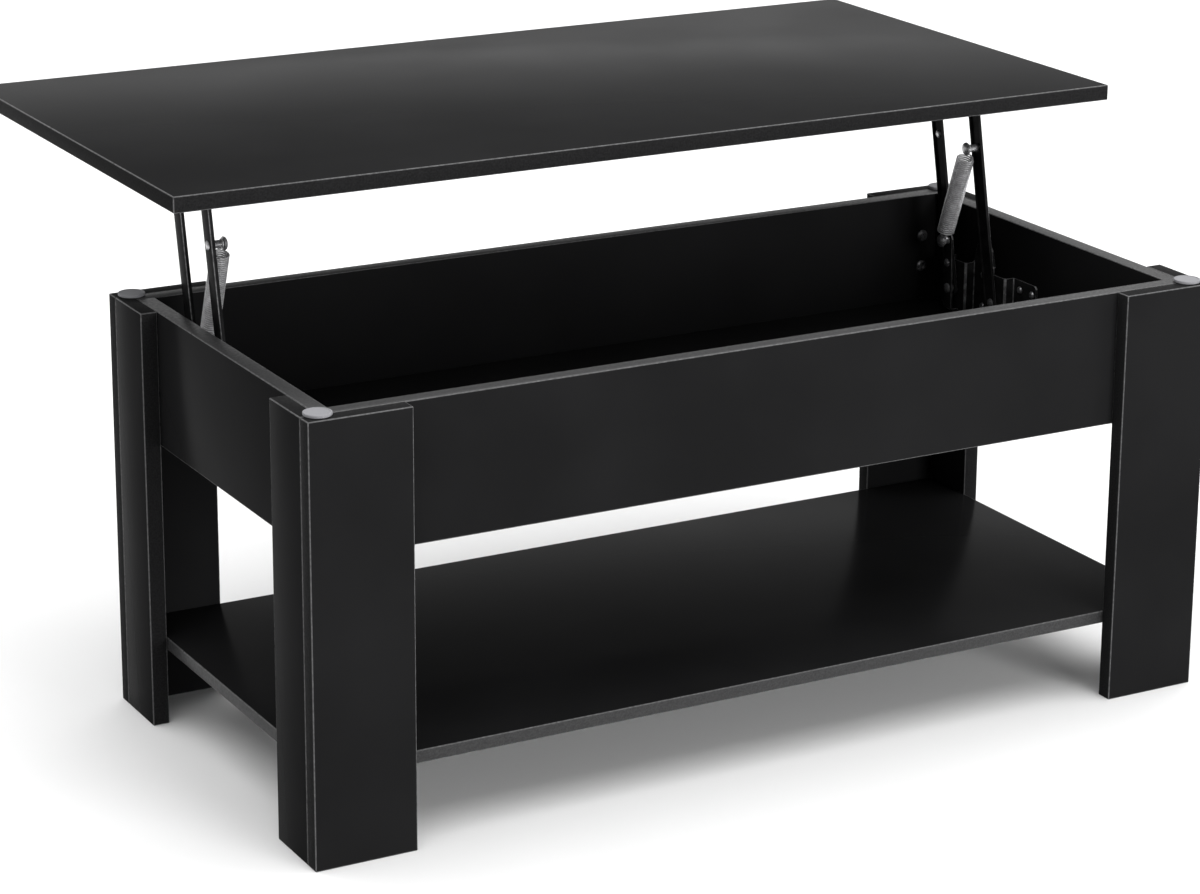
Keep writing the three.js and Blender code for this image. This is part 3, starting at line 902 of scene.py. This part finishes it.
def riveted_pin(name, low, high, head, shank, shoulder=None):
    """A pin along +X between two domed heads, with a thicker spacer on it if one is given."""
    run = high - low
    height = PIN_HEAD_HEIGHT
    near_head = profile(RIVET_HEAD, height, head)
    spacer = []
    if shoulder:
        spacer = [(shoulder[0] - low, shank), (shoulder[0] - low, head),
                  (shoulder[1] - low, head), (shoulder[1] - low, shank)]
    stations = [*near_head, (height, shank), *spacer, (run - height, shank),
                *turned_over(near_head, run)]
    return turned(name, stations, sides=24)


class LIFTTABLE_OT_pins(bpy.types.Operator):
    """Turn the pivot pins"""
    bl_idname = "lift_table.pins"
    bl_label = "Pivot pins"

    def execute(self, context):
        sizes = sizes_of(context, "fixings")
        lift = sizes_of(context, "lift")
        for part in ("front_lower_pin", "rear_lower_pin", "front_upper_pin", "rear_upper_pin"):
            low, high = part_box(f"left_{part}")
            head = (high.z - low.z) / 2
            shank = head * 0.6
            shoulder = None
            if part == "rear_lower_pin":
                arm_floor = ARM_BACK + lift.arm_wall
                strap_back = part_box("left_spring_hanger")[1].x - lift.sheet
                shoulder = (arm_floor + lift.play, strap_back - lift.play)
            pin = riveted_pin(f"left_{part}_made", low.x, high.x, head, shank, shoulder)
            laid_along(pin, (1, 0, 0), (low.x, (low.y + high.y) / 2, (low.z + high.z) / 2))
            painted(pin, shared(zinc_plate, sizes))
            both_ends(pin, part)
        return {"FINISHED"}


def stud(name, low, high, seat, sizes):
    """A headed stud along +X: rivet end, collar, a seat for the spring's hook and a broad head."""
    head = (high.z - low.z) / 2
    shank = sizes.stud
    collar = shank + sizes.collar
    wire = sizes.wire / 2 + sizes.play
    hook = seat - low.x
    under = hook + wire
    dome = high.x - low.x - under
    piece = turned(name, [
        *profile(STUD_RIVET, STUD_RIVET_HEIGHT, shank),
        (STUD_RIVET_HEIGHT, shank), (COLLAR_START, shank),
        (COLLAR_START, collar), (hook - wire, collar), (hook - wire, shank), (under, shank),
        *profile(STUD_HEAD, dome, head, foot=under),
    ])
    return laid_along(piece, (1, 0, 0), (low.x, (low.y + high.y) / 2, (low.z + high.z) / 2))


class LIFTTABLE_OT_studs(bpy.types.Operator):
    """Turn the spring studs, the arm rivets and the rivets on the posts and straps"""
    bl_idname = "lift_table.studs"
    bl_label = "Spring studs and rivets"

    def execute(self, context):
        sizes = sizes_of(context, "fixings")
        lift = sizes_of(context, "lift")
        for part in ("upper_spring_stud", "lower_spring_stud"):
            low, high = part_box(f"left_{part}")
            piece = stud(f"left_{part}_made", low, high, SPRING_X, lift)
            painted(piece, shared(zinc_plate, sizes))
            both_ends(piece, part)
        post_face = END_PANEL_FACE + lift.post_reach
        strap_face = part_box("left_spring_hanger")[1].x
        on_arm = UPPER_STUD + PIVOT_SPACING
        on_strap, on_post_y, on_post_z = 0.026, 0.0115, 0.022    # past the pivots
        # Each rivet's name, body, foot, radius and height.
        rivets = (
            ("arm_rivet", "rear_arms",
             (ARM_BACK + lift.arm_wall, on_arm.y, on_arm.z), 0.004, 0.0024),
            ("strap_rivet", "base",
             (strap_face, LOWER_STUD.y, REAR_PIVOT.z + on_strap), 0.0042, 0.0024),
            ("front_post_rivet", "base",
             (post_face, FRONT_PIVOT.y + on_post_y, FRONT_PIVOT.z + on_post_z), 0.003, 0.0012),
        )
        for part, body, foot, radius, height in rivets:
            stations = turned_over(profile(RIVET_HEAD, height, radius), height)
            rivet = turned(f"left_{part}", stations, sides=24)
            laid_along(rivet, (1, 0, 0), foot)
            painted(rivet, shared(zinc_plate, sizes))
            added_at_both_ends(rivet, body, part)
        return {"FINISHED"}


# ---------------------------------------------------------------- springs

def spring_points(sizes, run, coil_radius, eye_radius):
    """The wire's middle line: an eye round each stud, and close coils between them.
    Heights run along the spring, and the eyes lie in the plane across which the studs pass."""
    steps = 20
    first, last = sizes.coil_end, run - sizes.coil_end
    eye_turn = math.radians(330)
    lead_turn = math.pi
    winds = sizes.turns + 0.5    # the half turn brings the coil's end opposite its start

    def eye(share):
        turn = eye_turn * (share - 1)
        return Vector((0, -eye_radius * math.sin(turn), eye_radius * math.cos(turn)))

    def around(radius, turn, height):
        return Vector((radius * math.sin(turn), radius * math.cos(turn), height))

    def lead(share):
        eased = share * share * (3 - 2 * share)
        height = eye_radius + (first - eye_radius) * share
        return around(coil_radius * eased, lead_turn * (share - 1), height)

    lower = [eye(i / steps) for i in range(steps)] + [lead(i / steps) for i in range(steps)]
    count = int(steps * winds)
    coils = [
        around(coil_radius, 2 * math.pi * winds * i / count, first + (last - first) * i / count)
        for i in range(count + 1)
    ]
    # The upper end is the lower one turned over about the X axis, which meets the last coil.
    upper = [Vector((point.x, -point.y, run - point.z)) for point in reversed(lower)]
    return lower + coils + upper


class LIFTTABLE_OT_springs(bpy.types.Operator):
    """Wind the two extension springs with an eye at each end"""
    bl_idname = "lift_table.springs"
    bl_label = "Springs"

    def execute(self, context):
        sizes = sizes_of(context, "lift")
        run = UPPER_STUD - LOWER_STUD
        run.x = 0
        low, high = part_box("left_spring")
        coil_radius = (high.x - low.x) / 2 - sizes.wire / 2
        eye_radius = sizes.stud + sizes.play + sizes.wire / 2
        points = spring_points(sizes, run.length, coil_radius, eye_radius)
        spring = self.wound(points, sizes)
        spring.rotation_euler.x = -math.atan2(SPRING_RUN.y, SPRING_RUN.z)
        spring.location = (SPRING_X, LOWER_STUD.y, LOWER_STUD.z)
        settle(spring)
        painted(spring, shared(bright_wire, sizes))
        twin = mirrored(spring, "right_spring_made")
        for end, made in (("left", spring), ("right", twin)):
            smooth(made, 60)
            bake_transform(made)
            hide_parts(f"{end}_spring", f"{end}_spring_upper_eye")
        return {"FINISHED"}

    def wound(self, points, sizes):
        """Sweeps the round wire along its middle line."""
        curve = bpy.data.curves.new("left_spring_made", "CURVE")
        curve.dimensions = "3D"
        curve.bevel_depth = sizes.wire / 2
        curve.bevel_resolution = 2
        curve.use_fill_caps = True
        line = curve.splines.new("POLY")
        line.points.add(len(points) - 1)
        for place, point in zip(line.points, points):
            place.co = (*point, 1)
        spring = bpy.data.objects.new("left_spring_made", curve)
        bpy.context.scene.collection.objects.link(spring)
        only(spring)
        bpy.ops.object.convert(target="MESH")
        spring = bpy.context.object
        face_outwards(spring)
        return spring


# ---------------------------------------------------------------- floor, light and camera

class LIFTTABLE_OT_stage(bpy.types.Operator):
    """Lay the floor, hang the lights and set up the camera"""
    bl_idname = "lift_table.stage"
    bl_label = "Stage"

    def execute(self, context):
        sizes = sizes_of(context, "stage")
        floor = start("plane", "studio_floor", size=24)
        painted(floor, shared(studio_floor, sizes))
        self.room(context, sizes)
        self.soft_light(
            "overhead_light", place=(0.8, 0.6, 4), aim=(0.8, 0.6, 0), size=9, power=sizes.key)
        front = self.soft_light(
            "front_light", place=(0.8, -4.2, 0.9), aim=(0, 0, 0.3), size=2, power=sizes.fill)
        # The top would mirror it as a pale patch when it is seen from behind.
        front.visible_glossy = False
        self.camera(context, sizes)
        context.scene.view_settings.view_transform = "Standard"
        return {"FINISHED"}

    def room(self, context, sizes):
        """White all round, brightest at the back right and dimmest at the front left."""
        world = bpy.data.worlds.new("studio_room")
        world.use_nodes = True
        tree = world.node_tree
        background = tree.nodes["Background"]
        background.inputs["Color"].default_value = (1, 1, 1, 1)
        direction = tree.nodes.new("ShaderNodeTexCoord")
        across = tree.nodes.new("ShaderNodeVectorMath")
        across.operation = "DOT_PRODUCT"
        across.inputs[1].default_value = Vector((1, 1, 0)).normalized()
        spread = tree.nodes.new("ShaderNodeMapRange")
        spread.inputs["From Min"].default_value = -1
        spread.inputs["To Min"].default_value = sizes.sky * (1 - sizes.shade)
        spread.inputs["To Max"].default_value = sizes.sky * (1 + sizes.shade)
        tree.links.new(direction.outputs["Generated"], across.inputs[0])
        tree.links.new(across.outputs["Value"], spread.inputs["Value"])
        tree.links.new(spread.outputs["Result"], background.inputs["Strength"])
        context.scene.world = world

    def soft_light(self, name, place, aim, size, power):
        bpy.ops.object.light_add(type="AREA", location=place)
        light = bpy.context.object
        light.name = name
        light.data.size = size
        light.data.energy = power
        way = Vector(aim) - Vector(place)
        light.rotation_euler = way.to_track_quat("-Z", "Y").to_euler()
        return light

    def camera(self, context, sizes):
        """The viewer stands in front of the left end and looks down at the table."""
        place = Vector((-1.5902, -2.8962, 1.2826))
        yaw, pitch, roll = (math.radians(angle) for angle in (28.846, 16.469, 0.342))
        level = math.cos(pitch)
        forward = Vector((math.sin(yaw) * level, math.cos(yaw) * level, -math.sin(pitch)))
        right = Vector((math.cos(yaw), -math.sin(yaw), 0))
        up = right.cross(forward)
        turned_right = right * math.cos(roll) + up * math.sin(roll)
        turned_up = up * math.cos(roll) - right * math.sin(roll)
        bpy.ops.object.camera_add()
        camera = bpy.context.object
        turn = Matrix((turned_right, turned_up, -forward)).transposed().to_4x4()
        camera.matrix_world = Matrix.Translation(place) @ turn
        camera.data.sensor_width = 36    # millimetres
        camera.data.lens = sizes.lens
        camera.data.shift_y = sizes.rise
        context.scene.camera = camera


# ---------------------------------------------------------------- panel and registration

STEPS = (
    LIFTTABLE_OT_top, LIFTTABLE_OT_legs, LIFTTABLE_OT_box, LIFTTABLE_OT_shelf, LIFTTABLE_OT_pads,
    LIFTTABLE_OT_bolts, LIFTTABLE_OT_brackets, LIFTTABLE_OT_hangers, LIFTTABLE_OT_arms,
    LIFTTABLE_OT_rails, LIFTTABLE_OT_pins, LIFTTABLE_OT_studs, LIFTTABLE_OT_screws,
    LIFTTABLE_OT_springs, LIFTTABLE_OT_stage,
)
GROUPS = {
    "boards": LIFTTABLE_PG_boards,
    "fixings": LIFTTABLE_PG_fixings,
    "lift": LIFTTABLE_PG_lift,
    "stage": LIFTTABLE_PG_stage,
}


class LIFTTABLE_PT_panel(bpy.types.Panel):
    bl_idname = "LIFTTABLE_PT_panel"
    bl_label = "Lift table"
    bl_space_type = "VIEW_3D"
    bl_region_type = "UI"
    bl_category = "Lift table"

    def draw(self, context):
        for step in STEPS:
            self.layout.operator(step.bl_idname)
        for group in GROUPS:
            box = self.layout.box()
            sizes = sizes_of(context, group)
            for name in GROUPS[group].__annotations__:
                box.prop(sizes, name)


def register():
    for item in (*GROUPS.values(), *STEPS, LIFTTABLE_PT_panel):
        bpy.utils.register_class(item)
    for name, group in GROUPS.items():
        setattr(bpy.types.Scene, f"lift_table_{name}", PointerProperty(type=group))


def unregister():
    for name in GROUPS:
        delattr(bpy.types.Scene, f"lift_table_{name}")
    for item in reversed((*GROUPS.values(), *STEPS, LIFTTABLE_PT_panel)):
        bpy.utils.unregister_class(item)


def main():
    register()
    for step in STEPS:
        getattr(bpy.ops.lift_table, step.bl_idname.split(".")[1])()


if __name__ == "__main__":
    main()
